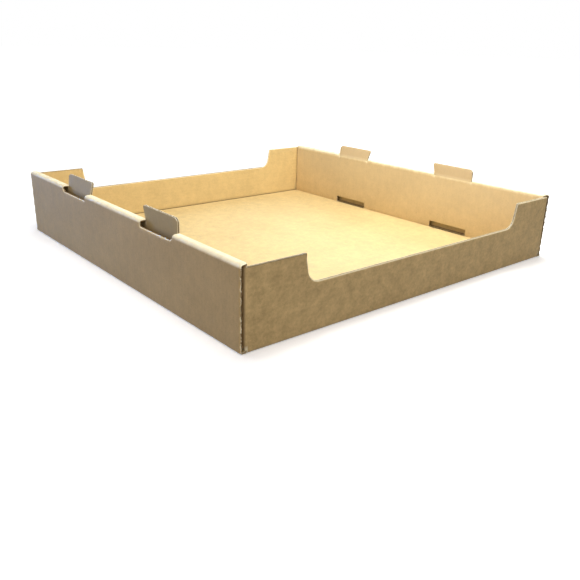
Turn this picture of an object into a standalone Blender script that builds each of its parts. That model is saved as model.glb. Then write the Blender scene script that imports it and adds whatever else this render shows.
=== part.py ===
"""Cardboard tray box, folded from one die-cut sheet of corrugated board.

The sheet is drawn flat as a blank and then folded up. Its outer liner lies
under the base, goes up each side, over the rolled top and down again inside,
so each side wall is two panels with the corner ears between them. The front
and the back are single walls, cut low in the middle. Four stacking tabs stay
in the plane of the inner side panels and stand up through the rolled top.
Below them the base and the inner panels are slotted, so that the tabs of
another tray can come up from underneath.

Blank coordinates are (across, along): across runs to the side walls, along
runs to the front and back walls, and the middle of the base is (0, 0).
Folded coordinates are X to the right, Y to the back and Z up, in metres.
"""
import cmath
import math

import bmesh
import bpy

# Driving dimensions.
WIDTH = 0.555                # outside, over the two side walls
DEPTH = 0.560                # outside, front wall to back wall
HEIGHT = 0.095               # underside of the base to the rolled top
BOARD = 0.0030               # thickness of the board
SIDE_THICKNESS = 0.012       # side wall, outer face to inner face
FOLD_RADIUS = 0.0035         # outer radius of the plain folds
RIM_RADIUS = 0.0045          # outer radius of the softer fold at the top of a side
REST_GAP = 0.0003            # between faces that rest on one another
PANEL_INSET = 0.0015         # inner side panel to the front and back walls

CUTOUT_LOW = 0.058           # height of the low middle of the front and back walls
CUTOUT_CORNER = 0.0835       # outside of the tray to the top corner of the cut-out
CUTOUT_SLANT = math.radians(10)
CUTOUT_RADIUS = 0.016        # fillet at the foot of the slanted edge

EAR_LENGTH = 0.105           # corner ear, from the front or back of the tray
EAR_CHAMFER = 0.012

TAB_SPACING = 0.229          # between the middles of the two tabs of a side
TAB_WIDTH = 0.0725
TAB_RISE = 0.016             # above the rolled top
TAB_CHAMFER_ALONG = 0.0045
TAB_CHAMFER_UP = 0.0035
CUT_WIDTH = 0.0007           # narrow cut that frees a tab or an ear
# Lean of each tab out of the tray, by its side (-1 left) and end (-1 front).
TAB_LEAN = {
    (-1, -1): math.radians(1),
    (-1, 1): math.radians(-7),
    (1, -1): math.radians(2),
    (1, 1): math.radians(8),
}

SLOT_LENGTH = 0.0740         # stacking slot, along the side
SLOT_WIDTH = 0.0055          # in the base, from the face of the inner panel outward
SLOT_HEIGHT = 0.0105         # in the foot of the inner panel, above the base
SLOT_RADIUS = 0.0010         # corners of the slots

FOLD_STEPS = 4               # flat facets in a right-angle fold
ARC_STEPS = 6                # straight pieces in a rounded corner of the outline
ON_LINE = 1e-6               # points this near are one point, or lie on a crease
SLIVER = 1e-5                # faces narrower than this are closed up
FLAT_ANGLE = math.radians(0.1)   # faces that turn less than this become one face

KRAFT_COLOUR = (0.55, 0.38, 0.20, 1.0)
KRAFT_ROUGHNESS = 0.85

# Layers of a side wall: outer panel, gap, ear, gap, inner panel.
LAYER_GAP = (SIDE_THICKNESS - 3 * BOARD) / 2
WALL_TOP = HEIGHT - BOARD - REST_GAP
QUARTER_TURN = math.pi / 2

# Places of the creases on the blank, measured along the outer liner.
SIDE_CREASE = WIDTH / 2 - FOLD_RADIUS
PANEL_START = SIDE_CREASE + QUARTER_TURN * FOLD_RADIUS
PANEL_END = PANEL_START + HEIGHT - FOLD_RADIUS - RIM_RADIUS
STRIP_START = PANEL_END + QUARTER_TURN * RIM_RADIUS
STRIP_END = STRIP_START + SIDE_THICKNESS - RIM_RADIUS - FOLD_RADIUS
TAB_ROOT = STRIP_END + QUARTER_TURN * FOLD_RADIUS
PANEL_FOOT = TAB_ROOT + HEIGHT - FOLD_RADIUS - BOARD - REST_GAP

WALL_CREASE = DEPTH / 2 - FOLD_RADIUS
WALL_START = WALL_CREASE + QUARTER_TURN * FOLD_RADIUS
WALL_EDGE = WALL_START + WALL_TOP - FOLD_RADIUS
WALL_LOW_EDGE = WALL_START + CUTOUT_LOW - FOLD_RADIUS
EAR_CREASE = WIDTH / 2 - BOARD - LAYER_GAP - FOLD_RADIUS
EAR_START = EAR_CREASE + QUARTER_TURN * FOLD_RADIUS
EAR_TIP = EAR_START + EAR_LENGTH - FOLD_RADIUS
EAR_FOOT = WALL_START + BOARD + 2 * REST_GAP - FOLD_RADIUS

SIDE_END = DEPTH / 2 - REST_GAP
INNER_END = DEPTH / 2 - BOARD - PANEL_INSET
TAB_TIP = TAB_ROOT - FOLD_RADIUS - TAB_RISE
TAB_MIDDLE = TAB_SPACING / 2

# Runs from the middle of the blank outward: a number is a straight length and
# a pair is a right-angle fold, written as ("fold", radius).
SIDE_RUN = [
    SIDE_CREASE,
    ("fold", FOLD_RADIUS),
    PANEL_END - PANEL_START,
    ("fold", RIM_RADIUS),
    STRIP_END - STRIP_START,
    ("fold", FOLD_RADIUS),
    PANEL_FOOT - TAB_ROOT,
]
WALL_RUN = [WALL_CREASE, ("fold", FOLD_RADIUS), WALL_EDGE - WALL_START]
EAR_RUN = [EAR_CREASE, ("fold", FOLD_RADIUS), EAR_TIP - EAR_START]


def clear_scene():
    for obj in list(bpy.data.objects):
        bpy.data.objects.remove(obj, do_unlink=True)


def rounded(corners):
    """Outline through (x, y, radius) corners, with an arc at each that has a radius."""
    points = []
    count = len(corners)
    for index, (x, y, radius) in enumerate(corners):
        if radius == 0:
            points.append((x, y))
            continue
        before = corners[index - 1]
        after = corners[(index + 1) % count]
        angle_in = math.atan2(before[1] - y, before[0] - x)
        angle_out = math.atan2(after[1] - y, after[0] - x)
        opening = (angle_out - angle_in + math.pi) % (2 * math.pi) - math.pi
        middle = angle_in + opening / 2
        reach = radius / math.sin(abs(opening) / 2)
        centre = (x + reach * math.cos(middle), y + reach * math.sin(middle))
        turn = (math.pi - abs(opening)) * math.copysign(1, opening)
        start = middle + math.pi + turn / 2
        for step in range(ARC_STEPS + 1):
            angle = start - turn * step / ARC_STEPS
            points.append((centre[0] + radius * math.cos(angle), centre[1] + radius * math.sin(angle)))
    return points


def quarter_outline():
    """Edge of one quarter of the blank, from the foot of a side to the middle of a wall."""
    slot_near = TAB_MIDDLE - SLOT_LENGTH / 2
    slot_far = TAB_MIDDLE + SLOT_LENGTH / 2
    slot_top = PANEL_FOOT - SLOT_HEIGHT + REST_GAP
    cut_top = WIDTH / 2 - CUTOUT_CORNER
    cut_foot = cut_top - (WALL_EDGE - WALL_LOW_EDGE) * math.tan(CUTOUT_SLANT)
    corners = [
        (PANEL_FOOT, 0, 0),
        (PANEL_FOOT, slot_near, 0),
        (slot_top, slot_near, SLOT_RADIUS),
        (slot_top, slot_far, SLOT_RADIUS),
        (PANEL_FOOT, slot_far, 0),
        (PANEL_FOOT, INNER_END, 0),
        (TAB_ROOT, INNER_END, 0),
        (PANEL_END, SIDE_END, 0),
        (EAR_CREASE + CUT_WIDTH, SIDE_END, 0),
        (EAR_CREASE + CUT_WIDTH, WALL_CREASE, 0),
        (EAR_CREASE, WALL_CREASE, 0),
        (EAR_CREASE, EAR_FOOT, 0),
        (EAR_TIP - EAR_CHAMFER, EAR_FOOT, 0),
        (EAR_TIP, EAR_FOOT + EAR_CHAMFER, 0),
        (EAR_TIP, WALL_EDGE - EAR_CHAMFER, 0),
        (EAR_TIP - EAR_CHAMFER, WALL_EDGE, 0),
        (cut_top, WALL_EDGE, 0),
        (cut_foot, WALL_LOW_EDGE, CUTOUT_RADIUS),
        (0, WALL_LOW_EDGE, 0),
    ]
    return rounded(corners)


def blank_outline():
    """The whole edge: the quarter, reflected into the other three."""
    quarter = quarter_outline()
    half = quarter + [(-across, along) for across, along in reversed(quarter[:-1])]
    return half + [(across, -along) for across, along in reversed(half[1:-1])]


def base_slot():
    """Hole in the base under a stacking tab, in the quarter of positive coordinates."""
    inner = WIDTH / 2 - SIDE_THICKNESS
    outer = inner + SLOT_WIDTH
    near = TAB_MIDDLE - SLOT_LENGTH / 2
    far = TAB_MIDDLE + SLOT_LENGTH / 2
    corners = [(inner, near), (outer, near), (outer, far), (inner, far)]
    return rounded([(across, along, SLOT_RADIUS) for across, along in corners])


def tab_half(tip, half_width):
    """Outline from one root of a tab to the middle of its tip."""
    return [
        (TAB_ROOT, -half_width),
        (tip + TAB_CHAMFER_UP, -half_width),
        (tip, -half_width + TAB_CHAMFER_ALONG),
    ]


def tab_cut():
    """Narrow cut round three sides of a tab, which frees it from the strip."""
    outer = tab_half(TAB_TIP - CUT_WIDTH, TAB_WIDTH / 2 + CUT_WIDTH)
    inner = tab_half(TAB_TIP, TAB_WIDTH / 2)
    outer += [(across, -along) for across, along in reversed(outer)]
    inner += [(across, -along) for across, along in reversed(inner)]
    return [(across, TAB_MIDDLE + along) for across, along in outer + inner[::-1]]


def reflected(outline):
    """The outline in each of the four quarters of the blank."""
    return [
        [(side * across, end * along) for across, along in outline]
        for side in (-1, 1)
        for end in (-1, 1)
    ]


def flat_blank():
    """The die-cut sheet as a flat mesh, its outer liner down at the bottom."""
    curve = bpy.data.curves.new("blank", "CURVE")
    curve.dimensions = "2D"
    curve.fill_mode = "BOTH"
    curve.extrude = BOARD / 2
    for outline in [blank_outline()] + reflected(base_slot()) + reflected(tab_cut()):
        spline = curve.splines.new("POLY")
        spline.points.add(len(outline) - 1)
        for point, (across, along) in zip(spline.points, outline):
            point.co = (across, along, 0, 1)
        spline.use_cyclic_u = True
    blank = bpy.data.objects.new("blank", curve)
    bpy.context.scene.collection.objects.link(blank)
    bpy.context.view_layer.update()
    evaluated = blank.evaluated_get(bpy.context.evaluated_depsgraph_get())
    mesh = bpy.data.meshes.new_from_object(evaluated)
    bpy.data.objects.remove(blank)
    bpy.data.curves.remove(curve)
    return mesh


def on_wall(across, along):
    """True for the front and back walls and their ears, false for base and sides."""
    if abs(across) < EAR_CREASE + CUT_WIDTH / 2:
        return abs(along) > WALL_CREASE
    return abs(along) > (SIDE_END + EAR_FOOT) / 2


def on_tab(across, along):
    """True for a tab, out to the middle of the cut round it."""
    from_root = TAB_ROOT - abs(across)
    from_tip = abs(across) - TAB_TIP + CUT_WIDTH / 2
    from_edge = (TAB_WIDTH + CUT_WIDTH) / 2 - abs(abs(along) - TAB_MIDDLE)
    past_chamfer = from_tip / TAB_CHAMFER_UP + from_edge / TAB_CHAMFER_ALONG > 1
    return from_root > ON_LINE and from_tip > 0 and from_edge > 0 and past_chamfer


def on_side(across, along):
    return not on_wall(across, along) and not on_tab(across, along)


def fold_lines(run):
    """Distances at which the flat faces are cut, so that each fold gets its facets."""
    lines = []
    distance = 0
    for piece in run:
        if isinstance(piece, tuple):
            length = QUARTER_TURN * piece[1]
            lines += [distance + length * step / FOLD_STEPS for step in range(FOLD_STEPS + 1)]
            distance += length
        else:
            distance += piece
    return lines


def cut_lines(bm, distances, axis, wanted):
    """Cuts the wanted faces along straight lines across or along the blank."""
    for distance in distances:
        for sign in (-1, 1):
            faces = [face for face in bm.faces if wanted(*face.calc_center_median().xy)]
            edges = {edge for face in faces for edge in face.edges}
            verts = {vert for face in faces for vert in face.verts}
            place = [0, 0, 0]
            place[axis] = sign * distance
            normal = [0, 0, 0]
            normal[axis] = 1
            bmesh.ops.bisect_plane(
                bm,
                geom=faces + list(edges) + list(verts),
                dist=ON_LINE,
                plane_co=place,
                plane_no=normal,
            )


def walk(run, distance, depth):
    """Point after a distance along the folded outer liner, a depth into the board.

    The run starts along the first axis and each fold turns it to the left. The
    complex number ahead is the heading, so 1j * ahead points to the left of it.
    """
    place = 0j
    ahead = 1 + 0j
    for piece in run:
        if isinstance(piece, tuple):
            radius = piece[1]
            centre = place + 1j * ahead * radius
            turn = min(distance / radius, QUARTER_TURN)
            ahead *= cmath.exp(1j * turn)
            place = centre - 1j * ahead * radius
            distance -= turn * radius
        else:
            step = min(distance, piece)
            place += ahead * step
            distance -= step
        if distance <= 0:
            break
    place += 1j * ahead * depth
    return place.real, place.imag


def folded_wall(across, along, depth):
    side_place, inset = walk(EAR_RUN, abs(across), depth)
    wall_place, height = walk(WALL_RUN, abs(along), depth)
    return side_place, wall_place - (inset - depth), height


def folded_tab(across, along, depth, lean):
    """A tab stays in the plane of the inner panel, but for its lean."""
    plane = WIDTH / 2 - SIDE_THICKNESS
    up = TAB_ROOT - across
    out = depth - BOARD / 2
    x = plane + BOARD / 2 + out * math.cos(lean) + up * math.sin(lean)
    z = HEIGHT - FOLD_RADIUS + up * math.cos(lean) - out * math.sin(lean)
    return x, along, z


def folded(across, along, depth):
    """Place of a point of the flat blank after all the folding."""
    side = math.copysign(1, across)
    end = math.copysign(1, along)
    across, along = abs(across), abs(along)
    if on_wall(across, along):
        x, y, z = folded_wall(across, along, depth)
    elif on_tab(across, along):
        x, y, z = folded_tab(across, along, depth, TAB_LEAN[side, end])
    else:
        x, z = walk(SIDE_RUN, across, depth)
        y = along
    return side * x, end * y, z


def kraft_board():
    material = bpy.data.materials.new("kraft_board")
    material.use_nodes = True
    shader = material.node_tree.nodes["Principled BSDF"]
    shader.inputs["Base Color"].default_value = KRAFT_COLOUR
    shader.inputs["Roughness"].default_value = KRAFT_ROUGHNESS
    shader.inputs["Metallic"].default_value = 0.0
    material.diffuse_color = KRAFT_COLOUR
    return material


def make_tray(collection):
    """Cuts the flat blank at its creases and folds it up, as one body."""
    mesh = flat_blank()
    mesh.name = "tray"
    bm = bmesh.new()
    bm.from_mesh(mesh)
    bmesh.ops.remove_doubles(bm, verts=bm.verts, dist=ON_LINE)
    bmesh.ops.dissolve_limit(bm, angle_limit=FLAT_ANGLE, verts=[], edges=bm.edges)
    cut_lines(bm, [WALL_CREASE], 1, lambda across, along: True)
    cut_lines(bm, fold_lines(SIDE_RUN), 0, on_side)
    cut_lines(bm, fold_lines(WALL_RUN), 1, on_wall)
    cut_lines(bm, fold_lines(EAR_RUN), 0, on_wall)
    bmesh.ops.remove_doubles(bm, verts=bm.verts, dist=SLIVER)
    bmesh.ops.dissolve_degenerate(bm, dist=SLIVER, edges=bm.edges)
    for vert in bm.verts:
        vert.co = folded(vert.co.x, vert.co.y, vert.co.z + BOARD / 2)
    bmesh.ops.dissolve_limit(bm, angle_limit=FLAT_ANGLE, verts=bm.verts, edges=bm.edges)
    bmesh.ops.triangulate(bm, faces=bm.faces)
    bmesh.ops.recalc_face_normals(bm, faces=bm.faces)
    bm.to_mesh(mesh)
    bm.free()
    mesh.materials.append(kraft_board())
    tray = bpy.data.objects.new("tray", mesh)
    collection.objects.link(tray)
    return tray


clear_scene()
tray_box = bpy.data.collections.new("cardboard_tray_box")
bpy.context.scene.collection.children.link(tray_box)
make_tray(tray_box)
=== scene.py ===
"""Cardboard tray box: the layers of its corrugated board, their finish, the light and the camera.

The board is drawn flat as one blank, cut at its creases and folded up. It has an
outer liner, an inner liner and the fluting between them. Blank coordinates are
(across, along): across runs to the side walls, along runs to the front and back
walls, and depth goes from the outer liner into the board. All sizes are in metres.
"""

import math

import bpy
import numpy as np
from mathutils import Matrix, Vector


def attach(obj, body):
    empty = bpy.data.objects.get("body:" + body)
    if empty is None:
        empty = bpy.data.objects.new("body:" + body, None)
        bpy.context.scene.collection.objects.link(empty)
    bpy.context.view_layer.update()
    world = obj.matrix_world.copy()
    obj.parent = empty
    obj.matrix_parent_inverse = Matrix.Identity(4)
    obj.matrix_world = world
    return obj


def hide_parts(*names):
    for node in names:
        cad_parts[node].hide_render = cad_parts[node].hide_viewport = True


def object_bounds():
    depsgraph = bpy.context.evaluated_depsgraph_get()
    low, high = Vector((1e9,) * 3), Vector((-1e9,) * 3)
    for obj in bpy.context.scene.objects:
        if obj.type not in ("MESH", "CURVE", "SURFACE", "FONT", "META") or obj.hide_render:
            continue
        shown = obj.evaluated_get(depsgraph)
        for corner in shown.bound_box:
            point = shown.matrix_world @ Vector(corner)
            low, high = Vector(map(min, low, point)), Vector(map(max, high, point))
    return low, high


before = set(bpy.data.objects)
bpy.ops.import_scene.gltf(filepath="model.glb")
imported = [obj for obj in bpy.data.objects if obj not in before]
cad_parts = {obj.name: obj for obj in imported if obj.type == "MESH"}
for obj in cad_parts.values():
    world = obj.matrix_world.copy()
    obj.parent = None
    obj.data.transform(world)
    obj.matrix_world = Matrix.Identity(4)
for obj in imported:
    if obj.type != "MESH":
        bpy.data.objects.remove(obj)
cad_low, cad_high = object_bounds()

# Sizes of the folded tray, as the solid part has them.
WIDTH = cad_high.x - cad_low.x
DEPTH = cad_high.y - cad_low.y
HEIGHT = 0.095
BOARD = 0.0030
SIDE_THICKNESS = 0.012
FOLD_RADIUS = 0.0035
RIM_RADIUS = 0.0045
REST_GAP = 0.0003
PANEL_INSET = 0.0015
CUTOUT_LOW = 0.058
CUTOUT_CORNER = 0.0835
CUTOUT_SLANT = math.radians(10)
CUTOUT_RADIUS = 0.016
EAR_LENGTH = 0.105
EAR_CHAMFER = 0.012
TAB_SPACING = 0.229
TAB_WIDTH = 0.0725
TAB_RISE = 0.016
TAB_CHAMFER_ALONG = 0.0045
TAB_CHAMFER_UP = 0.0035
SHARPER = 0.35               # share of that chamfer on the side of the tray's middle
TAB_FLARE = 0.0045           # how far a tab widens to its tip, on the side of the tray's middle
CUT_WIDTH = 0.0007
SLOT_LENGTH = 0.0740
SLOT_WIDTH = 0.0055
SLOT_HEIGHT = 0.0105
SLOT_RADIUS = 0.0010
TAB_LEAN = {
    (-1, -1): math.radians(1),
    (-1, 1): math.radians(-7),
    (1, -1): math.radians(2),
    (1, 1): math.radians(8),
}

# Layers of the board.
LINER = 0.00044
FLUTING = 0.00034
FLUTE_PITCH = 0.0065
FLUTE_STEPS = 8              # flat facets in one wave of the fluting
LAYER_SLACK = 0.00002        # between a liner and the crests of the fluting
CREASE_CRUSH = 0.42          # share of the board's thickness that a crease presses away
CREASE_REACH = 0.0017        # half width of a crease
INNER_CREASE_REACH = 0.0034  # the same for the painted shade line in the inner liner's creases, which the fold squeezes together

# Cut edges. The die rounds the outer liner over and presses the board together.
EDGE_REACH = 0.0010
EDGE_ROUND = 0.0011          # how far the outer liner bends in at an edge
INNER_ROUND = 0.0002         # how far the inner liner bends out
LITTLE_WORN = 0.25           # share of the wear that slots, tabs and sharp corners get

# Ends of the outer side panels, where the die has crushed the board.
BUCKLE_LENGTH = 0.0100       # of one wave of the crushed fluting
BUCKLE_HEIGHT = 0.0010
BUCKLE_REACH = 0.0035
BUCKLE_SHIFT = 2.1           # turns the waves by this angle, one way at the front, the other at the back
FLUTE_CRUSH = 0.8            # share of the fluting's own height that is pressed away
PINCH = 0.75                 # how far the liners are pressed together, in places
RAGGED = 0.0013              # how uneven the ends are cut

# Marks on the paper: where each starts, from a place that its function names, and its fade. The rolled
# tops get rubbed wear and a painted highlight; the other marks are painted shade between the layers.
RIM_START_FADE = 0.0025
RIM_END_FADE = 0.006
GAP_SHADE = (0.0014, 0.0018)
WALL_SHADE = (0.002, 0.002)
HIGH_SHADE = (0.015, 0.030)
TAB_SHADE = (0.005, 0.004)
FOOT_DARKNESS = 0.2          # painted shade between the layers of a side wall, at its foot
HIGH_DARKNESS = 1.1          # painted shade added to that, higher up

# Spacing of the lines that the liners are cut along.
BASE_STEP = 0.006
PANEL_STEP = 0.0025
ALONG_STEP = 0.008
END_STEP = 0.0012
CUTOUT_STEP = 0.0012         # along the slanted edges of the cut-outs
CUTOUT_SIDE = (WIDTH / 2 - CUTOUT_CORNER - 0.020, WIDTH / 2 - CUTOUT_CORNER + 0.0015)
CUTOUT_FOOT_STEP = 0.002     # along the arcs at their feet
EDGE_LINES = (0.0005, 0.0013)                # from each cut edge, in the liners
FLUTE_EDGE_LINES = (0.0005, 0.0010, 0.0017)  # from the cuts round the tabs, in the fluting
SUPPORT = 0.0004             # from a fold to the line that keeps the panel beside it flat
LINER_FACETS = 8
FLUTE_FACETS = 3
ARC_STEPS = 8
TINY = 1e-6                  # points nearer than this are one
SLIVER = 1e-5                # edges shorter than this go
STRAIGHT = math.radians(0.1)  # corners of an outline flatter than this go
LINER_SMOOTH = math.radians(35)
FLUTE_SMOOTH = math.radians(50)

QUARTER_TURN = math.pi / 2
INNER_FACE = WIDTH / 2 - SIDE_THICKNESS
LAYER_GAP = (SIDE_THICKNESS - 3 * BOARD) / 2
WALL_TOP = HEIGHT - BOARD - REST_GAP
SIDE_CREASE = WIDTH / 2 - FOLD_RADIUS
PANEL_START = SIDE_CREASE + QUARTER_TURN * FOLD_RADIUS
PANEL_END = PANEL_START + HEIGHT - FOLD_RADIUS - RIM_RADIUS
STRIP_START = PANEL_END + QUARTER_TURN * RIM_RADIUS
STRIP_END = STRIP_START + SIDE_THICKNESS - RIM_RADIUS - FOLD_RADIUS
TAB_ROOT = STRIP_END + QUARTER_TURN * FOLD_RADIUS
PANEL_FOOT = TAB_ROOT + HEIGHT - FOLD_RADIUS - BOARD - REST_GAP
WALL_CREASE = DEPTH / 2 - FOLD_RADIUS
WALL_START = WALL_CREASE + QUARTER_TURN * FOLD_RADIUS
WALL_EDGE = WALL_START + WALL_TOP - FOLD_RADIUS
WALL_LOW_EDGE = WALL_START + CUTOUT_LOW - FOLD_RADIUS
EAR_CREASE = WIDTH / 2 - BOARD - LAYER_GAP - FOLD_RADIUS
EAR_START = EAR_CREASE + QUARTER_TURN * FOLD_RADIUS
EAR_TIP = EAR_START + EAR_LENGTH - FOLD_RADIUS
EAR_FOOT = WALL_START + BOARD + 2 * REST_GAP - FOLD_RADIUS
SIDE_END = DEPTH / 2 - REST_GAP
INNER_END = DEPTH / 2 - BOARD - PANEL_INSET
TAB_TIP = TAB_ROOT - FOLD_RADIUS - TAB_RISE
TAB_MIDDLE = TAB_SPACING / 2

# Straight cut edges, each with the way into the board from it.
ACROSS_EDGES = [
    (TAB_TIP - CUT_WIDTH, -1),
    (TAB_TIP, 1),
    (PANEL_FOOT - SLOT_HEIGHT + REST_GAP, -1),
    (PANEL_FOOT, -1),
]
ALONG_EDGES = [
    (SIDE_END, -1),
    (INNER_END, -1),
    (TAB_MIDDLE - TAB_WIDTH / 2, 1),
    (TAB_MIDDLE - TAB_WIDTH / 2 - CUT_WIDTH, -1),
    (TAB_MIDDLE + TAB_WIDTH / 2, -1),
    (TAB_MIDDLE + TAB_WIDTH / 2 + CUT_WIDTH, 1),
    (WALL_EDGE, -1),
    (WALL_LOW_EDGE, -1),
]

SIDE_RUN = [
    SIDE_CREASE,
    ("fold", FOLD_RADIUS),
    PANEL_END - PANEL_START,
    ("fold", RIM_RADIUS),
    STRIP_END - STRIP_START,
    ("fold", FOLD_RADIUS),
    PANEL_FOOT - TAB_ROOT,
]
WALL_RUN = [WALL_CREASE, ("fold", FOLD_RADIUS), WALL_EDGE - WALL_START]
EAR_RUN = [EAR_CREASE, ("fold", FOLD_RADIUS), EAR_TIP - EAR_START]

# Spots in the paper: their size across and along, in metres.
BLOTCHES = (0.060, 0.090)
CLOUDS = (0.013, 0.012)
MOTTLE = (0.0040, 0.0036)
FIBRES = (0.0005, 0.0032)
SPECKS = (0.0011, 0.0019)
PALE_SPECKS = (0.0008, 0.0024)
TORN_BITS = (0.0050, 0.0030)
CUT_FUZZ = (0.0007, 0.0007)
CUT_PATCHES = (0.006, 0.006)
FLUTE_STREAKS = (0.0009, 0.0060)
FLUTE_CLOUDS = (0.008, 0.008)
DRIFT = (0.050, 0.200)
GLUE_LINE_DRIFT = 0.0015     # how far the glue lines over the flutes stray
PAINTED_LIGHT_REACH = 0.030         # past the foot of the inner panel, where the painted light on the tray's side fades out

# Heights of the bumps in the paper.
RIDGE_BUMP = 0.000014
CLOUD_BUMP = 0.00005
MOTTLE_BUMP = 0.00002
FIBRE_BUMP = 0.000012
FUZZ_BUMP = 0.00008
STREAK_BUMP = 0.00003

# Camera, fitted to the corners of the tray in a frame of 580 by 580 pixels.
CAMERA_PLACE = (-0.6139, -0.7487, 0.2912)
CAMERA_AZIMUTH = math.radians(40.35)
CAMERA_DROP = math.radians(20.89)
CAMERA_ROLL = math.radians(1.55)
FOCAL_PIXELS = 646.4
FRAME_PIXELS = 580
SENSOR = 36.0

# Light. A level of 1 shows a colour as it is written.
SKY_LEVEL = 0.25
NEAR_GLOW = (0.38, 0.38, 0.38)
FAR_GLOW = (0.82, 0.82, 0.82)
FLOOR_SIZE = 40
GLOW_REACH = (0.45, 1.20)    # from the tray's middle, where the glow goes from near to far
FLOOR_WHITE = (0.82, 0.82, 0.82)
UNDER_EDGE = (0.006, 0.002)  # from the tray's outline in, where the floor under it begins
FLOOR_GREY = (0.18, 0.175, 0.17)
# Painted shade: the floor under the tray, dark brown.
UNDER_TRAY_SHADE = (0.13, 0.08, 0.04)


def only(piece):
    """Makes a piece the one selected and active object."""
    bpy.ops.object.select_all(action="DESELECT")
    piece.select_set(True)
    bpy.context.view_layer.objects.active = piece


def apply_modifier(piece, kind, **settings):
    """Gives a piece a modifier with these settings and applies it."""
    modifier = piece.modifiers.new(kind.lower(), kind)
    for key, value in settings.items():
        setattr(modifier, key, value)
    only(piece)
    bpy.ops.object.modifier_apply(modifier=modifier.name)


def places_between(start, end, step):
    """Places from start to end, both kept, at most a step apart."""
    count = math.ceil((end - start) / step)
    return [start + (end - start) * index / count for index in range(count + 1)]


def rounded(corners):
    """Outline through (x, y, radius) corners, with an arc at each that has a radius."""
    points = []
    count = len(corners)
    for index, (x, y, radius) in enumerate(corners):
        if radius == 0:
            points.append((x, y))
            continue
        before = corners[index - 1]
        after = corners[(index + 1) % count]
        angle_in = math.atan2(before[1] - y, before[0] - x)
        angle_out = math.atan2(after[1] - y, after[0] - x)
        opening = (angle_out - angle_in + math.pi) % (2 * math.pi) - math.pi
        middle = angle_in + opening / 2
        reach = radius / math.sin(abs(opening) / 2)
        centre = (x + reach * math.cos(middle), y + reach * math.sin(middle))
        turn = (math.pi - abs(opening)) * math.copysign(1, opening)
        start = middle + math.pi + turn / 2
        for step in range(ARC_STEPS + 1):
            angle = start - turn * step / ARC_STEPS
            points.append((centre[0] + radius * math.cos(angle), centre[1] + radius * math.sin(angle)))
    return points


def quarter_outline():
    """Edge of one quarter of the blank, from the foot of a side to the middle of a wall."""
    slot_near = TAB_MIDDLE - SLOT_LENGTH / 2
    slot_far = TAB_MIDDLE + SLOT_LENGTH / 2
    slot_top = PANEL_FOOT - SLOT_HEIGHT + REST_GAP
    cut_top = WIDTH / 2 - CUTOUT_CORNER
    cut_foot = cut_top - (WALL_EDGE - WALL_LOW_EDGE) * math.tan(CUTOUT_SLANT)
    corners = [
        (PANEL_FOOT, 0, 0),
        (PANEL_FOOT, slot_near, 0),
        (slot_top, slot_near, SLOT_RADIUS),
        (slot_top, slot_far, SLOT_RADIUS),
        (PANEL_FOOT, slot_far, 0),
        (PANEL_FOOT, INNER_END, 0),
        (TAB_ROOT, INNER_END, 0),
        (PANEL_END, SIDE_END, 0),
        (EAR_CREASE + CUT_WIDTH, SIDE_END, 0),
        (EAR_CREASE + CUT_WIDTH, WALL_CREASE, 0),
        (EAR_CREASE, WALL_CREASE, 0),
        (EAR_CREASE, EAR_FOOT, 0),
        (EAR_TIP - EAR_CHAMFER, EAR_FOOT, 0),
        (EAR_TIP, EAR_FOOT + EAR_CHAMFER, 0),
        (EAR_TIP, WALL_EDGE - EAR_CHAMFER, 0),
        (EAR_TIP - EAR_CHAMFER, WALL_EDGE, 0),
        (cut_top, WALL_EDGE, 0),
        (cut_foot, WALL_LOW_EDGE, CUTOUT_RADIUS),
        (0, WALL_LOW_EDGE, 0),
    ]
    return rounded(corners)


def blank_outline():
    """The whole edge: the quarter, reflected into the other three."""
    quarter = quarter_outline()
    half = quarter + [(-across, along) for across, along in reversed(quarter[:-1])]
    return half + [(across, -along) for across, along in reversed(half[1:-1])]


def base_slot():
    """Hole in the base under a stacking tab."""
    inner, outer = INNER_FACE, INNER_FACE + SLOT_WIDTH
    near = TAB_MIDDLE - SLOT_LENGTH / 2
    far = TAB_MIDDLE + SLOT_LENGTH / 2
    corners = [(inner, near), (outer, near), (outer, far), (inner, far)]
    return rounded([(across, along, SLOT_RADIUS) for across, along in corners])


def tab_outline(tip, half_width):
    """Outline from one root of a tab round its tip to the other, with one sharper corner."""
    return [
        (TAB_ROOT, -half_width),
        (tip + SHARPER * TAB_CHAMFER_UP, -half_width),
        (tip, -half_width + SHARPER * TAB_CHAMFER_ALONG),
        (tip, half_width - TAB_CHAMFER_ALONG),
        (tip + TAB_CHAMFER_UP, half_width),
        (TAB_ROOT, half_width),
    ]


def tab_cut():
    """Narrow cut round three sides of a tab, which frees it from the strip."""
    outer = tab_outline(TAB_TIP - CUT_WIDTH, TAB_WIDTH / 2 + CUT_WIDTH)
    inner = tab_outline(TAB_TIP, TAB_WIDTH / 2)
    return [(across, TAB_MIDDLE + along) for across, along in outer + inner[::-1]]


def reflected(outline):
    """The outline in each of the four quarters of the blank."""
    return [
        [(side * across, end * along) for across, along in outline]
        for side in (-1, 1)
        for end in (-1, 1)
    ]


def cut_outlines():
    """Every line that the die cuts: the edge of the blank, the slots and the cuts round the tabs."""
    return [blank_outline()] + reflected(base_slot()) + reflected(tab_cut())


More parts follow.
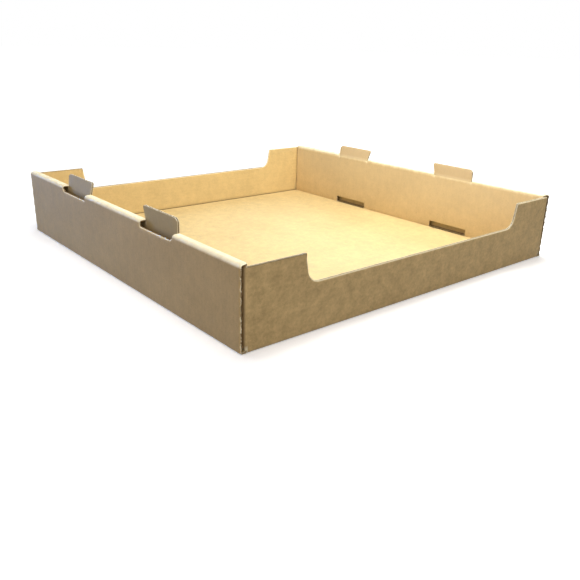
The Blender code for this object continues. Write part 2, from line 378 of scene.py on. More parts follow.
def flat_blank(name, thickness):
    """The die-cut blank as a flat mesh, one sheet of faces or a slab of a thickness."""
    curve = bpy.data.curves.new(name, "CURVE")
    curve.dimensions = "2D"
    curve.fill_mode = "BOTH" if thickness else "FRONT"
    curve.extrude = thickness / 2
    for outline in cut_outlines():
        spline = curve.splines.new("POLY")
        spline.points.add(len(outline) - 1)
        for point, (across, along) in zip(spline.points, outline):
            point.co = (across, along, 0, 1)
        spline.use_cyclic_u = True
    blank = bpy.data.objects.new(name, curve)
    bpy.context.scene.collection.objects.link(blank)
    only(blank)
    bpy.ops.object.convert(target="MESH")
    blank = bpy.context.view_layer.objects.active
    bpy.ops.object.mode_set(mode="EDIT")
    bpy.ops.mesh.select_all(action="SELECT")
    bpy.ops.mesh.remove_doubles(threshold=TINY)
    bpy.ops.mesh.dissolve_limited(angle_limit=STRAIGHT)
    bpy.ops.object.mode_set(mode="OBJECT")
    return blank


def cut_lines(piece, axis, places, wanted=None):
    """Cuts a flat piece along lines at these places of an axis, all over or on wanted faces."""
    only(piece)
    bpy.context.tool_settings.mesh_select_mode = (False, False, True)
    if wanted is not None:
        centres = np.zeros(len(piece.data.polygons) * 3)
        piece.data.polygons.foreach_get("center", centres)
        chosen = wanted(*centres.reshape(-1, 3).T[:2])
        piece.data.polygons.foreach_set("select", chosen)
    bpy.ops.object.mode_set(mode="EDIT")
    if wanted is not None:
        bpy.ops.mesh.hide(unselected=True)
    normal = [0, 0, 0]
    normal[axis] = 1
    for place in places:
        bpy.ops.mesh.select_all(action="SELECT")
        bpy.ops.mesh.bisect(plane_co=[place * part for part in normal], plane_no=normal, threshold=TINY)
    bpy.ops.mesh.reveal(select=False)
    bpy.ops.mesh.select_all(action="SELECT")
    bpy.ops.mesh.remove_doubles(threshold=SLIVER)
    bpy.ops.mesh.dissolve_degenerate(threshold=SLIVER)
    bpy.ops.object.mode_set(mode="OBJECT")


def fold_places(run, facets, support=0):
    """Where a run is cut, so that each fold gets its facets and, beside it, support lines."""
    places = []
    distance = 0
    for piece in run:
        if isinstance(piece, tuple):
            length = QUARTER_TURN * piece[1]
            places += [distance + length * step / facets for step in range(facets + 1)]
            if support:
                places += [distance - support, distance + length + support]
            distance += length
        else:
            distance += piece
    return places


def walk(run, distance, depth):
    """Points after distances along a folded run, at a depth into the board.

    The run starts along the first axis and each fold turns it to the left. The
    complex numbers ahead are the headings, so 1j * ahead points to the left of them.
    """
    left = distance.copy()
    place = np.zeros(len(distance), complex)
    ahead = np.ones(len(distance), complex)
    for piece in run:
        if isinstance(piece, tuple):
            radius = piece[1]
            centre = place + 1j * ahead * radius
            turn = np.clip(left / radius, 0, QUARTER_TURN)
            ahead = ahead * np.exp(1j * turn)
            place = centre - 1j * ahead * radius
            left = left - turn * radius
        else:
            step = np.minimum(left, piece)
            place = place + ahead * step
            left = left - step
    place = place + ahead * left + 1j * ahead * depth
    return place.real, place.imag


def on_wall(across, along):
    """True for the front and back walls and their ears, false for base and sides."""
    across, along = np.abs(across), np.abs(along)
    in_ears = across >= EAR_CREASE + CUT_WIDTH / 2
    return np.where(in_ears, along > (SIDE_END + EAR_FOOT) / 2, along > WALL_CREASE)


def on_tab(across, along):
    """True for a tab, out to the middle of the cut round it."""
    from_root = TAB_ROOT - np.abs(across)
    from_tip = np.abs(across) - TAB_TIP + CUT_WIDTH / 2
    from_edge = (TAB_WIDTH + CUT_WIDTH) / 2 - np.abs(np.abs(along) - TAB_MIDDLE)
    chamfer = np.where(np.abs(along) < TAB_MIDDLE, SHARPER, 1)
    past_chamfer = from_tip / TAB_CHAMFER_UP + from_edge / TAB_CHAMFER_ALONG > chamfer
    return (from_root > TINY) & (from_tip > 0) & (from_edge > 0) & past_chamfer


def tab_rows(across, along):
    """True for the rows that run through the tabs."""
    return np.abs(np.abs(along) - TAB_MIDDLE) < TAB_WIDTH / 2


def crease_mark(across, along, reach=CREASE_REACH):
    """How far a crease has pressed the board at places of the blank, from 0 to 1."""
    side_folds = [
        SIDE_CREASE + QUARTER_TURN * FOLD_RADIUS / 2,
        PANEL_END + QUARTER_TURN * RIM_RADIUS / 2,
        STRIP_END + QUARTER_TURN * FOLD_RADIUS / 2,
    ]
    wall = on_wall(across, along)
    below_tab = (np.abs(across) > TAB_ROOT - TINY) & tab_rows(across, along)
    unfolded = wall | below_tab | on_tab(across, along)
    pressed = np.zeros(len(across))
    for fold in side_folds:
        away = (np.abs(across) - fold) / reach
        pressed = np.maximum(pressed, np.where(unfolded, 0, np.exp(-away * away)))
    away = (np.abs(along) - WALL_CREASE - QUARTER_TURN * FOLD_RADIUS / 2) / reach
    pressed = np.maximum(pressed, np.exp(-away * away) * (np.abs(across) < EAR_CREASE + 2 * CUT_WIDTH))
    away = (np.abs(across) - EAR_CREASE - QUARTER_TURN * FOLD_RADIUS / 2) / reach
    return np.maximum(pressed, np.where(wall, np.exp(-away * away), 0))


def edge_lines():
    """The straight pieces of all the cut edges of the blank, as complex numbers."""
    for outline in cut_outlines():
        points = [complex(*point) for point in outline]
        yield from zip(points, points[1:] + points[:1])


def edge_mark(across, along):
    """How near places of the blank are to a cut edge: 1 at the edge, 0 away from it."""
    places = across + 1j * along
    nearest = np.full(len(places), 1.0)
    for start, end in edge_lines():
        length = abs(end - start)
        from_start = (places - start) * (end - start).conjugate() / length
        past = np.maximum(np.maximum(-from_start.real, from_start.real - length), 0)
        nearest = np.minimum(nearest, np.hypot(past, from_start.imag))
    return np.exp(-((nearest / EDGE_REACH) ** 2))


def by_corner_top(across, along):
    """True along the top edges of the left corners, which are sharp and have a darker lip."""
    return (np.abs(along) > WALL_EDGE - 4 * EDGE_REACH) & (across < 0)


def worn_edge(across, along):
    """How worn the cut edges are. Slots, tabs and sharp corners are only a little worn."""
    in_base = (np.abs(across) < SIDE_CREASE) & (np.abs(along) < WALL_CREASE)
    at_foot = (np.abs(across) > PANEL_FOOT - 2 * SLOT_HEIGHT) & ~on_wall(across, along)
    little = by_corner_top(across, along) | in_base | at_foot | on_tab(across, along)
    return edge_mark(across, along) * np.where(little, LITTLE_WORN, 1)


def rounded_edge(across, along, depth):
    """Depth after the die has rounded the cut edges and pressed them together."""
    mark = worn_edge(across, along)
    return depth + mark * (EDGE_ROUND - (EDGE_ROUND + INNER_ROUND) * depth / BOARD)


def panel_end(across, along):
    """1 at the ends of the outer side panels, 0 away from them."""
    from_end = (SIDE_END - np.abs(along)) / BUCKLE_REACH
    on_panel = (np.abs(across) > PANEL_START) & (np.abs(across) < PANEL_END) & ~on_wall(across, along)
    return np.where(on_panel, np.clip(1 - from_end, 0, 1), 0)


def buckle_turns(across, along):
    """The angle that the crushed waves have reached at places along the ends of the side panels."""
    return 2 * math.pi * across / BUCKLE_LENGTH + BUCKLE_SHIFT * np.sign(along)


def pinched(across, along, depth):
    """Depth after the die has pressed the ends of the side panels together in places."""
    turns = buckle_turns(across, along)
    waves = 0.40 + 0.45 * np.sin(0.7 * turns) + 0.30 * np.sin(2.3 * turns + 1.0)
    press = PINCH * panel_end(across, along) * np.clip(waves, 0, 1)
    return depth + press * (BOARD / 2 - depth)


def torn_off(across, along, depth):
    """How much the die has torn off the ends of the side panels, differently in each layer."""
    turns = buckle_turns(across, along) + 1.3 + 2 * depth / BOARD
    uneven = 0.5 + 0.3 * np.sin(turns) + 0.2 * np.sin(2.3 * turns + np.sign(across))
    return RAGGED * uneven * panel_end(across, along)


def folded(across, along, depth):
    """Places of points of the flat blank after all the folding."""
    side = np.where(across < 0, -1.0, 1.0)
    end = np.where(along < 0, -1.0, 1.0)
    wall, tab = on_wall(across, along), on_tab(across, along)
    depth = pinched(across, along, rounded_edge(across, along, depth))
    depth = depth * (1 - CREASE_CRUSH * crease_mark(across, along))
    torn = torn_off(across, along, depth)
    across, along = np.abs(across), np.abs(along)

    x, z = walk(SIDE_RUN, across, depth)
    y = along - torn

    ear_x, inset = walk(EAR_RUN, across, depth)
    wall_y, wall_z = walk(WALL_RUN, along, depth)
    x = np.where(wall, ear_x, x)
    y = np.where(wall, wall_y - (inset - depth), y)
    z = np.where(wall, wall_z, z)

    lean = np.zeros(len(across))
    for (lean_side, lean_end), angle in TAB_LEAN.items():
        lean[(side == lean_side) & (end == lean_end)] = angle
    up = TAB_ROOT - across
    out = depth - BOARD / 2
    tab_x = INNER_FACE + BOARD / 2 + out * np.cos(lean) + up * np.sin(lean)
    tab_z = HEIGHT - FOLD_RADIUS + up * np.cos(lean) - out * np.sin(lean)
    to_middle = 0.5 + (TAB_MIDDLE - along) / TAB_WIDTH
    x = np.where(tab, tab_x, x)
    y = np.where(tab, y - TAB_FLARE * to_middle * np.clip(up / TAB_RISE, 0, 1), y)
    z = np.where(tab, tab_z, z)
    return np.stack([side * x, end * y, z], axis=1)


def crease_wear_and_shade(across, along, outer):
    """The creases as the paper shows them: paler wear outside, and painted shade as a dark line inside.
    The corner folds get no wear outside.
    """
    pressed = crease_mark(across, along, CREASE_REACH if outer else INNER_CREASE_REACH)
    corner = on_wall(across, along) & (np.abs(across) > EAR_CREASE - 2 * CREASE_REACH)
    return np.where(outer & corner, 0, pressed)


def fade_in(place, begin, fade):
    """0 up to where it begins, and 1 a fade further on."""
    return np.clip((place - begin) / fade, 0, 1)


def rim_mark(across, along):
    """Where the rolled tops get rubbed wear and a painted highlight: 1 on them, fading down the tray's
    side of them, and 0 on the tabs.
    """
    from_middle = np.abs(across)
    below_rim = fade_in(from_middle, TAB_ROOT, RIM_END_FADE)
    on_rim = fade_in(from_middle, PANEL_END, RIM_START_FADE) * (1 - below_rim)
    return np.where(on_wall(across, along) | on_tab(across, along), 0, on_rim)


def painted_gap_shade(across, along, outer):
    """Painted shade on the paper between the layers of a side wall: in the gap by the ears and behind the
    inner panels. It is 0 where the paper shows.
    """
    from_middle = np.abs(across)
    if outer:
        in_gap = fade_in(from_middle, EAR_CREASE + GAP_SHADE[0], GAP_SHADE[1])
        return np.where(on_wall(across, along), in_gap, 0)
    in_wall = fade_in(from_middle, INNER_FACE + WALL_SHADE[0], WALL_SHADE[1])
    high = fade_in(from_middle, PANEL_START + HIGH_SHADE[0], HIGH_SHADE[1])
    below_tab = fade_in(from_middle, TAB_ROOT + TAB_SHADE[0], TAB_SHADE[1])
    behind = np.where(from_middle > STRIP_END, below_tab, in_wall * (FOOT_DARKNESS + HIGH_DARKNESS * high))
    return np.where(on_tab(across, along), 0, behind)


def fold_up(piece, depth=None):
    """Notes each point's place on the blank and its marks, and folds the piece.

    The UV map "blank" holds the place in metres, moved by half a metre so that it
    is never negative.
    """
    mesh = piece.data
    flat = np.zeros(len(mesh.vertices) * 3)
    mesh.vertices.foreach_get("co", flat)
    flat = flat.reshape(-1, 3)
    corners = np.zeros(len(mesh.loops), int)
    mesh.loops.foreach_get("vertex_index", corners)
    for layer in list(mesh.uv_layers):
        mesh.uv_layers.remove(layer)
    blank_map = mesh.uv_layers.new(name="blank")
    blank_map.data.foreach_set("uv", (flat[corners, :2] + 0.5).ravel())
    across, along, outer = flat[:, 0], flat[:, 1], np.bool_(depth == 0)
    marks = {
        "crease": crease_wear_and_shade(across, along, outer),
        "edge": worn_edge(across, along),
        "rim": rim_mark(across, along),
        "painted_gap_shade": painted_gap_shade(across, along, outer),
        "dark_lip": edge_mark(across, along) * by_corner_top(across, along),
        "crushed": panel_end(across, along),
        "wall": on_wall(across, along).astype(float),
        # tab: the tabs, and on the inner liner the inner panels' hidden faces, which get painted light and
        # shade
        "tab": np.where(on_tab(across, along) | (~outer & (np.abs(across) > STRIP_END)), 1.0, 0.0),
    }
    for name, values in marks.items():
        mesh.attributes.new(name, "FLOAT", "POINT").data.foreach_set("value", values)
    depths = np.full(len(flat), depth) if depth is not None else flat[:, 2] + BOARD / 2
    places = folded(flat[:, 0], flat[:, 1], depths)
    mesh.vertices.foreach_set("co", places.ravel())
    mesh.update()


def finish_piece(piece, smooth_angle):
    """Shades a piece smoothly but for sharp folds, hangs it on the root body and hides the solid tray."""
    only(piece)
    bpy.ops.object.shade_smooth_by_angle(angle=smooth_angle)
    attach(piece, "root")
    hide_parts("tray")


def both_ways(places):
    """The places on both sides of the middle, in order."""
    return sorted({-place for place in places} | set(places))


def cut_finely(sheet):
    """Cuts the flat half of a liner into the faces that its folds, edges and crushed ends need."""
    cut_lines(sheet, 1, both_ways([SIDE_END - BUCKLE_REACH]))
    cut_lines(sheet, 0, [PANEL_START, PANEL_END])
    cut_lines(sheet, 0, places_between(PANEL_START, PANEL_END, END_STEP)[1:-1], near_panel_end)
    across = places_between(0, SIDE_CREASE, BASE_STEP)[1:]
    across += places_between(PANEL_START, PANEL_END, PANEL_STEP)
    across += places_between(TAB_ROOT, PANEL_FOOT, BASE_STEP)[:-1]
    across += fold_places(SIDE_RUN, LINER_FACETS, SUPPORT)
    across += fold_places(EAR_RUN, LINER_FACETS, SUPPORT)
    along = places_between(0, INNER_END, ALONG_STEP)
    along += places_between(WALL_START, WALL_EDGE, ALONG_STEP)[:-1]
    along += fold_places(WALL_RUN, LINER_FACETS, SUPPORT)
    across += [place + way * away for place, way in ACROSS_EDGES for away in EDGE_LINES]
    along += [place + way * away for place, way in ALONG_EDGES for away in EDGE_LINES]
    cut_lines(sheet, 1, both_ways([WALL_CREASE]))
    cut_lines(sheet, 0, places_between(*CUTOUT_SIDE, CUTOUT_STEP), on_wall)
    cut_lines(sheet, 0, sorted(set(across)))
    by_foot = places_between(WALL_LOW_EDGE, WALL_LOW_EDGE + CUTOUT_RADIUS, CUTOUT_FOOT_STEP)
    cut_lines(sheet, 1, both_ways(by_foot), on_wall)
    cut_lines(sheet, 1, both_ways(along))


def liner(name, outer, paper, cut, inside_shade):
    """One face sheet of the board, cut in half, finely cut, mirrored, folded and thickened."""
    sheet = flat_blank(name, 0)
    only(sheet)
    bpy.ops.object.mode_set(mode="EDIT")
    bpy.ops.mesh.select_all(action="SELECT")
    bpy.ops.mesh.bisect(plane_co=(0, 0, 0), plane_no=(1, 0, 0), clear_inner=True, threshold=TINY)
    bpy.ops.object.mode_set(mode="OBJECT")
    cut_finely(sheet)
    apply_modifier(sheet, "MIRROR", use_axis=(True, False, False), merge_threshold=TINY)
    bpy.ops.object.mode_set(mode="EDIT")
    bpy.ops.mesh.select_all(action="SELECT")
    bpy.ops.mesh.normals_make_consistent(inside=False)
    bpy.ops.object.mode_set(mode="OBJECT")
    if (sheet.data.polygons[0].normal.z > 0) == outer:
        sheet.data.flip_normals()
    fold_up(sheet, 0.0 if outer else BOARD)
    sheet.data.materials.append(paper)
    sheet.data.materials.append(cut)
    # The faces inside the board get a near-black painted shade.
    sheet.data.materials.append(inside_shade)
    apply_modifier(sheet, "SOLIDIFY", thickness=LINER, offset=-1, material_offset=2, material_offset_rim=1)
    finish_piece(sheet, LINER_SMOOTH)


def near_panel_end(across, along):
    """True where a side panel's last few millimetres are."""
    return panel_end(across, along) > 0


def panel_end_rows(across, along):
    """True for the rows of the fluting that reach the ends of the side panels."""
    return np.abs(np.abs(along) - SIDE_END + BUCKLE_REACH / 2) < BUCKLE_REACH


def buckled(across, along, depth):
    """Depth of the fluting after the die has crushed it along the ends of the side panels."""
    if not PANEL_START < abs(across) < PANEL_END:
        return depth
    share = min(max(1 - (SIDE_END - abs(along)) / BUCKLE_REACH, 0), 1)
    turns = 2 * math.pi * across / BUCKLE_LENGTH + math.copysign(1, along)
    zigzag = math.asin(math.sin(turns)) / QUARTER_TURN
    return depth + share * (BUCKLE_HEIGHT * zigzag - FLUTE_CRUSH * depth)


def fluting(paper, cut):
    """The waved middle sheet, cut to the blank and folded with it."""
    step = FLUTE_PITCH / FLUTE_STEPS
    rows = 2 * math.ceil((WALL_EDGE + FLUTE_PITCH) / step)
    bpy.ops.mesh.primitive_grid_add(x_subdivisions=1, y_subdivisions=rows, size=2)
    wave = bpy.context.active_object
    wave.name = "fluting"
    wave.data.transform(Matrix.Diagonal((PANEL_FOOT + FLUTE_PITCH, rows * step / 2, 1, 1)))
    height = BOARD / 2 - LINER - FLUTING / 2 - LAYER_SLACK
    for vert in wave.data.vertices:
        vert.co.z = height * math.sin(2 * math.pi * vert.co.y / FLUTE_PITCH)
    places = places_between(PANEL_START, PANEL_END, BUCKLE_LENGTH / 4)
    cut_lines(wave, 0, both_ways(places), panel_end_rows)
    places = [TAB_TIP + away for away in FLUTE_EDGE_LINES]
    places += [TAB_TIP - CUT_WIDTH - away for away in FLUTE_EDGE_LINES]
    cut_lines(wave, 0, both_ways(places), tab_rows)
    for vert in wave.data.vertices:
        vert.co.z = buckled(vert.co.x, vert.co.y, vert.co.z)
    apply_modifier(wave, "SOLIDIFY", thickness=FLUTING, offset=0, use_even_offset=True)
    wave.data.materials.append(paper)
    cutter = flat_blank("fluting_cutter", 2 * BOARD)
    cutter.data.materials.append(cut)
    apply_modifier(
        wave, "BOOLEAN", operation="INTERSECT", object=cutter, solver="EXACT", material_mode="TRANSFER"
    )
    bpy.data.objects.remove(cutter)
    places = fold_places(SIDE_RUN, FLUTE_FACETS) + fold_places(EAR_RUN, FLUTE_FACETS)
    cut_lines(wave, 0, both_ways(places))
    fold_up(wave)
    finish_piece(wave, FLUTE_SMOOTH)


def shade(colour, level):
    """The colour made darker or lighter."""
    return [min(1, part * level) for part in colour]


def varied(level, *parts):
    """A level that noises from 0 to 1 move up and down, each by its share."""
    for noise, share in parts:
        level = level + share * (noise - 0.5)
    return level


class Signal:
    """A socket of some nodes, for which sums and products are written as plain maths."""

    def __init__(self, nodes, socket):
        self.nodes = nodes
        self.socket = socket

    def __add__(self, other):
        return self.nodes.maths("ADD", self, other)

    def __sub__(self, other):
        return self.nodes.maths("SUBTRACT", self, other)

    def __rsub__(self, other):
        return self.nodes.maths("SUBTRACT", other, self)

    def __mul__(self, other):
        return self.nodes.maths("MULTIPLY", self, other)

    __radd__ = __add__
    __rmul__ = __mul__


class Nodes:
    """A node tree, to which nodes are added with their settings and links."""

    def __init__(self, tree):
        self.tree = tree

    def node(self, kind, settings, sockets, output=0):
        """Adds a node of a type, with its settings and the values or links of its sockets."""
        node = self.tree.nodes.new(kind)
        for key, value in settings.items():
            setattr(node, key, value)
        for key, value in sockets.items():
            if isinstance(value, Signal):
                self.tree.links.new(value.socket, node.inputs[key])
            else:
                node.inputs[key].default_value = value
        return Signal(self, node.outputs[output])

    def maths(self, operation, first, second=0.0):
        """One step of plain maths."""
        return self.node("ShaderNodeMath", {"operation": operation}, {0: first, 1: second})

    def seen_rays(self):
        """1 for the rays in which the white background shows, 0 for those that carry light."""
        camera = self.node("ShaderNodeLightPath", {}, {})
        paths = camera.socket.node.outputs
        return camera + Signal(self, paths["Is Glossy Ray"]) + Signal(self, paths["Is Transmission Ray"])


class Finish(Nodes):
    """A material that is built up from nodes."""

    def __init__(self, name, constants):
        self.material = bpy.data.materials.new(name)
        self.material.use_nodes = True
        super().__init__(self.material.node_tree)
        self.shader = self.tree.nodes["Principled BSDF"]
        for socket, value in constants.items():
            self.shader.inputs[socket].default_value = value

    def feed(self, socket, value):
        """Links a signal to a socket of the shader."""
        self.tree.links.new(value.socket, self.shader.inputs[socket])

    def on_blank(self):
        """The place on the flat blank, in metres."""
        return self.node("ShaderNodeUVMap", {"uv_map": "blank"}, {})

    def separate(self, place):
        """The across and along parts of a place."""
        across = self.node("ShaderNodeSeparateXYZ", {}, {0: place}, 0)
        return across, Signal(self, across.socket.node.outputs[1])

    def noise(self, place, size, seed, detail=3.0, roughness=0.55):
        """Noise from 0 to 1 with spots of a size (across, along) in metres."""
        scale = (1 / size[0], 1 / size[1], 1)
        mapping = {"Vector": place, "Location": (seed, seed, 0), "Scale": scale}
        moved = self.node("ShaderNodeMapping", {}, mapping)
        settings = {"noise_dimensions": "2D"}
        sockets = {"Vector": moved, "Scale": 1.0, "Detail": detail, "Roughness": roughness}
        return self.node("ShaderNodeTexNoise", settings, sockets)

    def between(self, value, low, high):
        """0 below low, 1 above high and smooth in between."""
        sockets = {"Value": value, "From Min": low, "From Max": high}
        return self.node("ShaderNodeMapRange", {"interpolation_type": "SMOOTHSTEP"}, sockets)

    def blend(self, factor, first, second):
        """Goes from the first colour to the second one."""
        colours = [value if isinstance(value, Signal) else (*value, 1) for value in (first, second)]
        sockets = {0: factor, 6: colours[0], 7: colours[1]}
        return self.node("ShaderNodeMix", {"data_type": "RGBA", "clamp_factor": True}, sockets, 2)

    def relief(self, height):
        """Bumps of a height in metres."""
        sockets = {"Strength": 1.0, "Distance": 1.0, "Height": height}
        self.feed("Normal", self.node("ShaderNodeBump", {}, sockets))

    def attribute(self, name):
        """One of the marks that folding up noted at each point."""
        return self.node("ShaderNodeAttribute", {"attribute_name": name}, {}, 2)

    def crushed(self, place):
        """1 in the pits of the crushed panel ends, which are darkened as painted shade, 0 on the torn bits
        between them.
        """
        bits = self.noise(place, TORN_BITS, 43, detail=3, roughness=0.6)
        return self.attribute("crushed") * (1 - self.between(bits, 0.48, 0.56))


def kraft_liner(
    name, dark, pale, cloudy, wall_cloudy, crease, crease_share, edge, tab, gap_shade_colour, seed, rim=None
):
    """Kraft paper: clouds, fibres along the web, specks, glue lines over the flutes, and its marks: wear
    at edges and creases, and painted light and shade on rims, tabs, creases, pits and between the layers.
    """
    finish = Finish(name, {"IOR": 1.45})
    place = finish.on_blank()
    blotches = finish.noise(place, BLOTCHES, seed + 1, detail=2)
    clouds = finish.noise(place, CLOUDS, seed + 2, detail=3)
    mottle = finish.noise(place, MOTTLE, seed + 3, detail=2)
    fibres = finish.noise(place, FIBRES, seed + 4, detail=4, roughness=0.7)
    specks = finish.between(finish.noise(place, SPECKS, seed + 5, detail=1), 0.71, 0.78)
    pale_specks = finish.between(finish.noise(place, PALE_SPECKS, seed + 6, detail=1), 0.72, 0.80)

    across, along = finish.separate(place)
    drift = finish.noise(place, DRIFT, seed + 7, detail=1)
    phase = (along + GLUE_LINE_DRIFT * drift) * (2 * math.pi / FLUTE_PITCH)
    ridge = finish.maths("SINE", phase)

    strength = cloudy + (wall_cloudy - cloudy) * finish.attribute("wall")
    uneven = strength * varied(0, (clouds, 0.75), (mottle, 0.45))
    tone = varied(0.5, (blotches, 0.45), (fibres, 0.45)) + uneven + 0.018 * ridge
    colour = finish.blend(tone, dark, pale)
    colour = finish.blend(specks * 0.45, colour, shade(dark, 0.45))
    colour = finish.blend(pale_specks * 0.35, colour, shade(pale, 1.3))
    # Painted light and shade on the tabs: paler on the faces toward the tray, darker on their outward
    # faces and on the hidden faces below them.
    colour = finish.blend(finish.attribute("tab") * 0.6, colour, tab)
    # The creases: paler wear on the outer liner, and painted shade as a dark line on the inner liner.
    pressed = finish.attribute("crease")
    crease_wear_and_shade_share = finish.between(pressed, 0.15, 0.95) * varied(0.8, (clouds, 0.9), (fibres, 0.9))
    colour = finish.blend(crease_wear_and_shade_share * crease_share, colour, crease)
    if rim:
        # Painted light: the tray's side of the inner panels paler high up, fading down; and the rolled
        # tops paler from rubbed wear and a painted highlight.
        from_middle = finish.maths("ABSOLUTE", across - 0.5)
        painted_light_high_up = 1 - finish.between(from_middle, TAB_ROOT, PANEL_FOOT + PAINTED_LIGHT_REACH)
        painted_light_high_up = painted_light_high_up * finish.between(from_middle, STRIP_END, TAB_ROOT) * 0.30
        rim_wear_and_highlight = finish.attribute("rim") * varied(0.75, (clouds, 0.8), (fibres, 0.6))
        colour = finish.blend(finish.maths("MAXIMUM", painted_light_high_up, rim_wear_and_highlight), colour, rim)
    worn = finish.between(finish.attribute("edge"), 0.10, 0.75) * varied(0.9, (mottle, 0.5))
    # Painted shade in the pits of the crushed panel ends: less wear colour there, and a darker colour.
    pit_shade = finish.crushed(place)
    colour = finish.blend(worn * (1 - 0.9 * pit_shade), colour, edge)
    colour = finish.blend(worn * pit_shade * 0.7, colour, shade(dark, 0.45))
    # Darker along the lip of the left corners' top edges.
    dark_lip = finish.between(finish.attribute("dark_lip"), 0.15, 0.80) * varied(0.75, (mottle, 0.5))
    colour = finish.blend(dark_lip, colour, shade(dark, 0.5))
    # Painted shade between the layers of the side walls.
    colour = finish.blend(finish.attribute("painted_gap_shade") * 0.7, colour, gap_shade_colour)
    finish.feed("Base Color", colour)
    finish.feed("Roughness", varied(0.62, (clouds, 0.25), (fibres, 0.2)))
    bumps = RIDGE_BUMP * ridge + CLOUD_BUMP * clouds + MOTTLE_BUMP * mottle + FIBRE_BUMP * fibres
    finish.relief(bumps)
    return finish.material


def cut_paper(name, dark, pale, gap_shade_colour, seed):
    """Paper where the die has cut it: pale torn fibres, pits darkened as painted shade, and painted brown
    shade where it lies hidden between the layers.
    """
    finish = Finish(name, {"IOR": 1.4, "Roughness": 0.85})
    place = finish.on_blank()
    fuzz = finish.noise(place, CUT_FUZZ, seed, detail=4, roughness=0.7)
    patches = finish.noise(place, CUT_PATCHES, seed + 1, detail=2)
    colour = finish.blend(varied(0.5, (fuzz, 1.6), (patches, 1.2)), dark, pale)
    # Painted shade in the pits of the crushed panel ends.
    colour = finish.blend(finish.crushed(place) * 0.9, colour, shade(dark, 0.28))
    # Painted shade on the cut edges that lie between the layers.
    finish.feed("Base Color", finish.blend(5 * finish.attribute("painted_gap_shade"), colour, gap_shade_colour))
    finish.relief(FUZZ_BUMP * fuzz)
    return finish.material


def flute_paper(name, dark, pale, seed):
    """The brown paper inside the board, streaked by the rollers, with painted shade in the holes near a
    cut edge.
    """
    finish = Finish(name, {"IOR": 1.4, "Roughness": 0.8})
    place = finish.on_blank()
    streaks = finish.noise(place, FLUTE_STREAKS, seed, detail=4, roughness=0.65)
    clouds = finish.noise(place, FLUTE_CLOUDS, seed + 1, detail=3)
    colour = finish.blend(varied(0.5, (streaks, 1.2), (clouds, 1.0)), dark, pale)
    # Painted shade: darker near the cut edges, where the flutes' holes are.
    hole_shade = finish.between(finish.attribute("edge"), 0.05, 0.60) * 0.6
    finish.feed("Base Color", finish.blend(hole_shade, colour, shade(dark, 0.3)))
    finish.relief(STREAK_BUMP * streaks)
    return finish.material


def white_floor():
    """A floor that the camera sees white but for the tray's shadow, and the light sees grey.

    It glows more away from the lamps. No light comes under the tray, so it doesn't glow there, and its
    colour there is a dark brown painted shade.
    """
    constants = {"Base Color": (*FLOOR_WHITE, 1), "Roughness": 1.0, "Specular IOR Level": 0.0}
    finish = Finish("pale_floor", {**constants, "Emission Strength": 1.0})
    lit = Signal(finish, finish.shader.outputs[0])
    place = finish.node("ShaderNodeTexCoord", {}, {}, 3)
    from_middle = finish.node("ShaderNodeVectorMath", {"operation": "LENGTH"}, {0: place}, 1)
    far = finish.between(from_middle, *GLOW_REACH)
    finish.feed("Emission Color", finish.blend(far, NEAR_GLOW, FAR_GLOW))
    open_floor = 0.0
    for part, reach in zip(finish.separate(place), (WIDTH / 2, DEPTH / 2)):
        away = finish.maths("ABSOLUTE", part)
        outside = finish.between(away, *(reach - inward for inward in UNDER_EDGE))
        open_floor = finish.maths("MAXIMUM", outside, open_floor)
    grey = finish.blend(open_floor, UNDER_TRAY_SHADE, FLOOR_GREY)
    dull = finish.node("ShaderNodeBsdfDiffuse", {}, {"Color": grey})
    mixed = finish.node("ShaderNodeMixShader", {}, {0: finish.seen_rays() * open_floor, 1: dull, 2: lit})
    output = finish.tree.nodes["Material Output"]
    finish.tree.links.new(mixed.socket, output.inputs["Surface"])
    return finish.material


def make_camera():
    """The photo's camera. Its azimuth runs clockwise from the back, and its drop is downward."""
    azimuth, drop, roll = CAMERA_AZIMUTH, CAMERA_DROP, CAMERA_ROLL
    level, down = math.cos(drop), math.sin(drop)
    forward = Vector((math.sin(azimuth) * level, math.cos(azimuth) * level, -down))
    level_right = Vector((math.cos(azimuth), -math.sin(azimuth), 0))
    level_up = level_right.cross(forward)
    right = math.cos(roll) * level_right + math.sin(roll) * level_up
    up = math.cos(roll) * level_up - math.sin(roll) * level_right
    data = bpy.data.cameras.new("camera")
    data.sensor_width = SENSOR
    data.lens = FOCAL_PIXELS * SENSOR / FRAME_PIXELS
    camera = bpy.data.objects.new("camera", data)
    turn = Matrix((right, up, -forward)).transposed().to_4x4()
    camera.matrix_world = Matrix.Translation(CAMERA_PLACE) @ turn
    bpy.context.scene.collection.objects.link(camera)
    bpy.context.scene.camera = camera


def make_stage():
    """The floor that the tray stands on."""
    bpy.ops.mesh.primitive_plane_add(size=FLOOR_SIZE, location=(0, 0, 0))
    floor = bpy.context.active_object
    floor.name = "floor"
    floor.data.materials.append(white_floor())


def softbox(name, place, aim, size, level, colour, spread=180):
    """A soft lamp that lights a white card at the aim, turned to it, to the level.

    A beam with less spread is brighter along its middle, so its energy is less.
    """
    reach = Vector(aim) - Vector(place)
    half = math.radians(spread) / 2
    data = bpy.data.lights.new(name, "AREA")
    data.size = size
    data.energy = level * math.pi ** 2 * reach.length_squared * (1 - half / math.tan(half))
    data.color = colour
    data.spread = math.radians(spread)
    lamp = bpy.data.objects.new(name, data)
    lamp.location = place
    lamp.rotation_euler = reach.to_track_quat("-Z", "Y").to_euler()
    lamp.visible_camera = False
    bpy.context.scene.collection.objects.link(lamp)


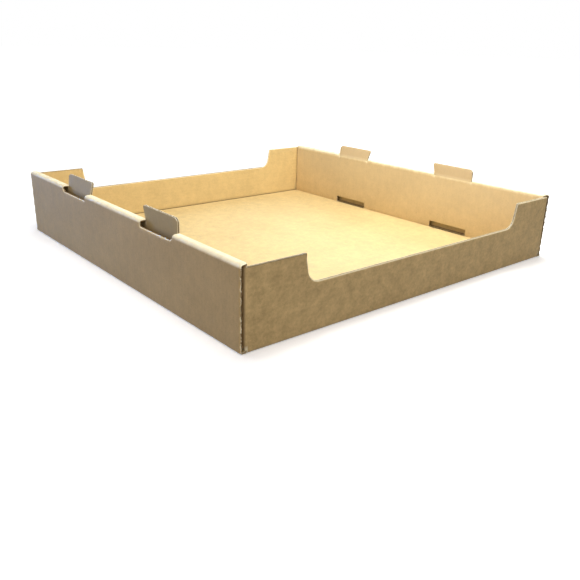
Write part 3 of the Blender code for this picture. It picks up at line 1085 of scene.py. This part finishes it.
def make_light():
    """Six soft lamps and a sky that is dim for all but the rays that are seen."""
    softbox("top_left_light", (-0.22, -0.08, 0.90), (0.03, 0.04, 0), 0.40, 0.50, (1, 1, 0.94))
    softbox("top_right_light", (0.24, -0.12, 0.52), (0.22, -0.10, 0), 0.22, 1.12, (1, 1, 0.96))
    softbox("back_light", (1.55, 1.05, 0.95), (0, 0, 0.05), 1.3, 0.40, (1, 1, 0.97))
    softbox("left_high", (-1.6, -0.6, 1.3), (-0.28, -0.1, 0.05), 0.9, 0.17, (1, 0.79, 0.80))
    softbox("left_fill", (-0.75, 1.1, 0.20), (-0.28, 0.12, 0.05), 0.30, 0.72, (0.12, 0.38, 1), spread=30)
    softbox("front_fill", (-0.6, -2.0, 0.9), (-0.1, -0.28, 0.05), 1.2, 0.275, (1, 0.93, 0.80))
    world = bpy.data.worlds.new("studio")
    bpy.context.scene.world = world
    world.use_nodes = True
    sky = Nodes(world.node_tree)
    background = world.node_tree.nodes["Background"]
    background.inputs["Color"].default_value = (1, 1, 1, 1)
    strength = SKY_LEVEL + (1 - SKY_LEVEL) * sky.seen_rays()
    world.node_tree.links.new(strength.socket, background.inputs["Strength"])


bpy.context.scene.view_settings.view_transform = "Standard"
cut_finish = cut_paper(
    # the gap shade colour is painted shade between the layers
    "cut_edge", dark=(0.78, 0.69, 0.48), pale=(0.98, 0.93, 0.76), gap_shade_colour=(0.36, 0.22, 0.09), seed=3
)
flute_finish = flute_paper("fluting", dark=(0.34, 0.23, 0.12), pale=(0.52, 0.38, 0.21), seed=7)
# The liners' glued faces inside the board: near-black painted shade between the layers.
inside_shade_finish = flute_paper("painted_shade_inside", dark=(0.11, 0.070, 0.035), pale=(0.20, 0.135, 0.07), seed=17)
outer_finish = kraft_liner(
    "outer_liner",
    dark=(0.44, 0.305, 0.135),
    pale=(0.72, 0.525, 0.25),
    cloudy=0.70,
    wall_cloudy=1.9,
    crease=(0.93, 0.86, 0.66),
    crease_share=0.60,
    edge=(0.97, 0.88, 0.62),
    # tab: painted light, paler and greyer on the tabs' faces toward the tray
    tab=(0.66, 0.55, 0.37),
    # the gap shade colour is painted shade in the crevice by the ears
    gap_shade_colour=(0.21, 0.14, 0.07),
    seed=11,
    # rim: rubbed wear and a painted highlight on the rolled tops, and painted light high on the tray's
    # side
    rim=(0.94, 0.86, 0.62),
)
inner_finish = kraft_liner(
    "inner_liner",
    dark=(0.48, 0.352, 0.160),
    pale=(0.76, 0.572, 0.265),
    cloudy=1.1,
    wall_cloudy=0.7,
    # crease: painted shade, a dark line in the folds
    crease=(0.09, 0.05, 0.02),
    crease_share=1.3,
    edge=(0.95, 0.82, 0.54),
    # tab: painted shade on the tabs' outward faces and on the faces hidden below them
    tab=(0.42, 0.32, 0.15),
    # the gap shade colour is painted shade on the faces hidden between the layers
    gap_shade_colour=(0.15, 0.095, 0.045),
    seed=31,
)
liner("outer_liner", outer=True, paper=outer_finish, cut=cut_finish, inside_shade=inside_shade_finish)
liner("inner_liner", outer=False, paper=inner_finish, cut=cut_finish, inside_shade=inside_shade_finish)
fluting(paper=flute_finish, cut=cut_finish)
make_stage()
make_light()
make_camera()
